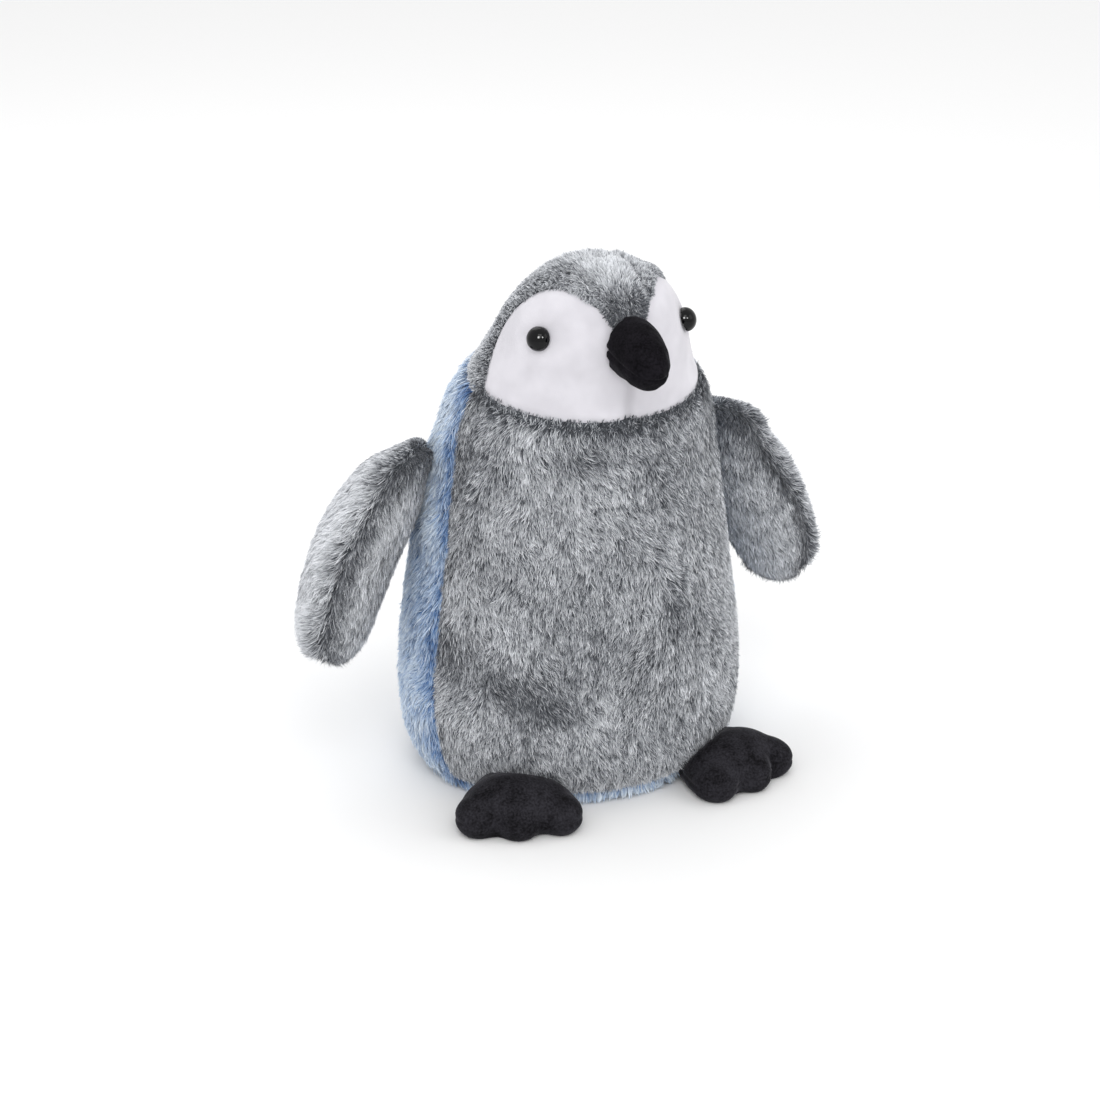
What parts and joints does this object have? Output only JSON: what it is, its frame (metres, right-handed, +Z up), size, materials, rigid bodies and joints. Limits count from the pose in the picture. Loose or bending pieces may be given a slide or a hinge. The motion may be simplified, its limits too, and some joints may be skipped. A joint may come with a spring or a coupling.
{
  "type": "plush penguin",
  "caption": "Weighted plush penguin of long grey and blue fur with white cheeks, a black velvet beak and toed feet, glossy eyes, and wings and feet that flex on sewn roots.",
  "frame": {"origin": "middle of the flat base, on the floor it stands on", "axes": "+Z up; the penguin faces -Y; +X is the penguin's own left"},
  "size_m": [0.2858, 0.1829, 0.276],
  "materials": {
    "grey_fur": "long combed pile, pale tips over dark roots",
    "blue_fur": "long combed pile, pale blue tips over navy roots",
    "white_short_pile": "short smooth pile",
    "black_velvet": "matt velvet with a soft sheen",
    "eye_gloss": "polished",
    "washer_plastic": "matt",
    "fibre_stuffing": "loose fibre",
    "bag_cloth": "plain weave",
    "pellets": "small beads"
  },
  "bodies": {
    "body": {"front_panel": "grey_fur", "back_panel_left": "blue_fur", "back_panel_right": "blue_fur", "base_panel": "blue_fur", "head_gusset": "grey_fur", "head_side_left": "grey_fur", "head_side_right": "grey_fur", "cheek_left": "white_short_pile", "cheek_right": "white_short_pile", "eye_left": "eye_gloss", "eye_right": "eye_gloss", "eye_washer_left": "washer_plastic", "eye_washer_right": "washer_plastic", "beak_upper": "black_velvet", "beak_lower": "black_velvet", "beak_stuffing": "fibre_stuffing", "pellet_bag": "bag_cloth", "pellet_fill": "pellets", "body_stuffing": "fibre_stuffing"},
    "wing_left": {"wing_left_outer": "grey_fur", "wing_left_inner": "grey_fur", "wing_left_stuffing": "fibre_stuffing"},
    "wing_right": {"wing_right_outer": "grey_fur", "wing_right_inner": "grey_fur", "wing_right_stuffing": "fibre_stuffing"},
    "foot_left": {"foot_left_top": "black_velvet", "foot_left_sole": "black_velvet", "foot_left_stuffing": "fibre_stuffing"},
    "foot_right": {"foot_right_top": "black_velvet", "foot_right_sole": "black_velvet", "foot_right_stuffing": "fibre_stuffing"}
  },
  "joints": [
    {"name": "wing_left_lift", "type": "hinge", "parent": "body", "child": "wing_left", "pos_m": [0.0764, 0.013, 0.173], "axis": [0.0523, -0.9986, 0], "range_deg": [-3, 60], "stiffness_Nm_per_rad": 0.08},
    {"name": "wing_right_lift", "type": "hinge", "parent": "body", "child": "wing_right", "pos_m": [-0.0764, 0.013, 0.173], "axis": [0.0523, 0.9986, 0], "range_deg": [-2, 60], "stiffness_Nm_per_rad": 0.08},
    {"name": "foot_left_lift", "type": "hinge", "parent": "body", "child": "foot_left", "pos_m": [0.0535, -0.0538, 0.008], "axis": [-0.9397, -0.342, 0], "range_deg": [-12, 12], "stiffness_Nm_per_rad": 0.05},
    {"name": "foot_right_lift", "type": "hinge", "parent": "body", "child": "foot_right", "pos_m": [-0.0535, -0.0538, 0.008], "axis": [-0.9397, 0.342, 0], "range_deg": [-12, 12], "stiffness_Nm_per_rad": 0.05}
  ]
}
